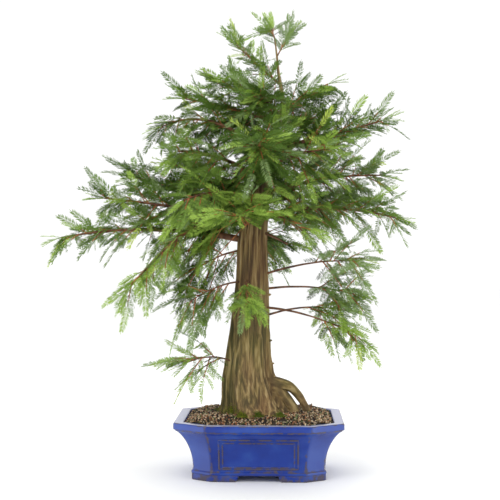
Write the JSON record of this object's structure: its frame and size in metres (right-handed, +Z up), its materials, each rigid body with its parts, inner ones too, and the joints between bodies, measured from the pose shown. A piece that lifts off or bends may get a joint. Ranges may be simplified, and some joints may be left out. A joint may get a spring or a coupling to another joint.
{
  "type": "bald cypress bonsai in a glazed pot",
  "caption": "Bald cypress grown as a bonsai: tapering fluted trunk with a flying root, layered boughs with feathery foliage, in a long eight-sided glazed pot.",
  "frame": {"origin": "middle of the whole plant's box, at the underside of the pot's feet", "axes": "+Z up along the trunk, -Y towards the pot's front, +X to the right"},
  "size_m": [0.9198, 0.613, 1.1342],
  "materials": {
    "glaze": "glossy cobalt glaze that breaks brown on its edges",
    "soil": "loose grit of mixed tan, brown and reddish grains",
    "bark": "fibrous fissured bark",
    "young_wood": "smooth reddish bark",
    "needles": "soft matt leaves"
  },
  "bodies": {
    "root": {"bough_back_left": "young_wood", "bough_back_low": "young_wood", "bough_back_right": "young_wood", "bough_front_low": "young_wood", "bough_front_mid": "young_wood", "bough_left_arch": "young_wood", "bough_left_back": "young_wood", "bough_left_droop": "young_wood", "bough_left_long": "young_wood", "bough_left_low": "young_wood", "bough_left_mid": "young_wood", "bough_left_twig": "young_wood", "bough_right_arm": "young_wood", "bough_right_fore": "young_wood", "bough_right_long": "young_wood", "bough_right_low_a": "young_wood", "bough_right_low_b": "young_wood", "bough_right_low_c": "young_wood", "bough_right_shoulder": "young_wood", "bough_right_twig": "young_wood", "mass_apex": "needles", "mass_back_high_left": "needles", "mass_back_high_right": "needles", "mass_back_left": "needles", "mass_back_low": "needles", "mass_back_mid": "needles", "mass_back_right": "needles", "mass_front_high": "needles", "mass_front_low": "needles", "mass_front_mid": "needles", "mass_front_top": "needles", "mass_left_arch": "needles", "mass_left_back": "needles", "mass_left_droop": "needles", "mass_left_fore": "needles", "mass_left_front": "needles", "mass_left_high": "needles", "mass_left_inner": "needles", "mass_left_long": "needles", "mass_left_low": "needles", "mass_left_mid": "needles", "mass_left_top": "needles", "mass_left_twig": "needles", "mass_left_under": "needles", "mass_right_arm": "needles", "mass_right_fore": "needles", "mass_right_high": "needles", "mass_right_long": "needles", "mass_right_low_a": "needles", "mass_right_low_b": "needles", "mass_right_low_c": "needles", "mass_right_mid": "needles", "mass_right_shoulder": "needles", "mass_right_twig": "needles", "mass_right_under": "needles", "mass_top_right": "needles", "mass_top_shoot": "needles", "pot": "glaze", "soil": "soil", "trunk": "bark"}
  },
  "joints": []
}
